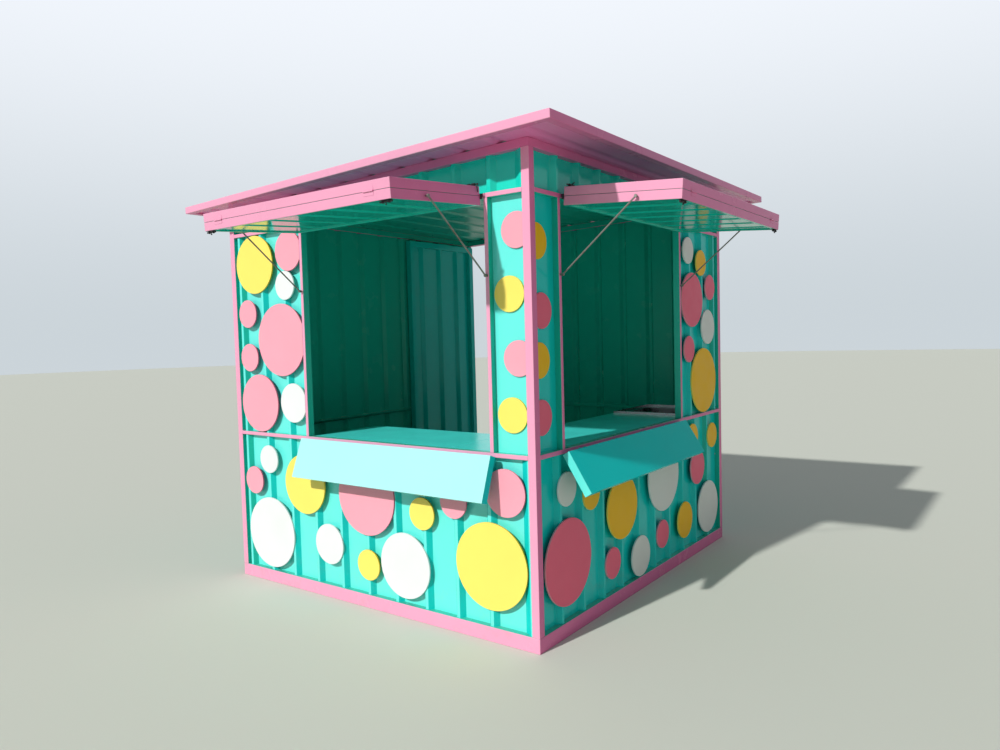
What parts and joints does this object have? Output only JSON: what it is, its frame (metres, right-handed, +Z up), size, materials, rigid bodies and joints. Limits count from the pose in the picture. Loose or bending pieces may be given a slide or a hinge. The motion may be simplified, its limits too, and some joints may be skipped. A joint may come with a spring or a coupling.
{
  "type": "street kiosk",
  "caption": "Walk-in street kiosk: tube frame with ribbed cladding, polka dots, folded awnings and serving flaps on two windows, counters, sink, rear door and lean-to roof.",
  "frame": {"origin": "centre of the body's footprint, on the underside of the base frame's middle joist", "axes": "+Z up, -Y towards the customer at the front window, +X towards the side window; the door is in the +Y wall"},
  "size_m": [2.698, 2.8161, 2.1257],
  "materials": {
    "pink_enamel": "gloss",
    "roof_enamel": "gloss",
    "teal_enamel": "gloss",
    "teal_board": "gloss enamel",
    "floor_ply": "matt",
    "sink_steel": "brushed",
    "bare_steel": "satin",
    "black_iron": "satin",
    "pink_paint": "satin paint",
    "yellow_paint": "satin paint",
    "white_paint": "satin paint"
  },
  "bodies": {
    "body": {"base_frame": "pink_enamel", "floor_board": "floor_ply", "front_left_post": "pink_enamel", "front_right_post": "pink_enamel", "back_left_post": "pink_enamel", "back_right_post": "pink_enamel", "sill_rails": "pink_enamel", "header_rails": "pink_enamel", "window_jambs": "pink_enamel", "door_jamb": "pink_enamel", "front_lower_sheet": "teal_enamel", "front_left_sheet": "teal_enamel", "front_corner_sheet": "teal_enamel", "front_header_sheet": "teal_enamel", "side_lower_sheet": "teal_enamel", "side_corner_sheet": "teal_enamel", "side_rear_sheet": "teal_enamel", "side_header_sheet": "teal_enamel", "back_lower_sheet": "teal_enamel", "back_upper_sheet": "teal_enamel", "left_lower_sheet": "teal_enamel", "left_upper_sheet": "teal_enamel", "roof_frame": "pink_enamel", "roof_sheet": "roof_enamel", "door_hinges": "teal_enamel", "front_counter": "teal_board", "side_counter": "teal_board", "sink": "sink_steel", "front_awning_frames": "pink_enamel", "front_awning_sheets": "teal_enamel", "side_awning_frames": "pink_enamel", "side_awning_sheets": "teal_enamel", "awning_hinges": "pink_enamel", "awning_stays": "bare_steel", "awning_bolts": "black_iron", "flap_hinges": "teal_enamel", "pink_dots": "pink_paint", "yellow_dots": "yellow_paint", "white_dots": "white_paint"},
    "rear_door": {"door_frame": "teal_enamel", "door_sheet": "teal_enamel"},
    "front_flap": {"front_flap": "teal_board"},
    "side_flap": {"side_flap": "teal_board"}
  },
  "joints": [
    {"name": "rear_door_swing", "type": "hinge", "parent": "body", "child": "rear_door", "pos_m": [-0.959, 1.006, 1], "axis": [0, 0, 1], "range_deg": [0, 90]},
    {"name": "front_flap_lift", "type": "hinge", "parent": "body", "child": "front_flap", "pos_m": [0.1965, -1.0555, 0.802], "axis": [-1, 0, 0], "range_deg": [0, 70]},
    {"name": "side_flap_lift", "type": "hinge", "parent": "body", "child": "side_flap", "pos_m": [1.0055, -0.2245, 0.796], "axis": [0, -1, 0], "range_deg": [0, 58]}
  ]
}
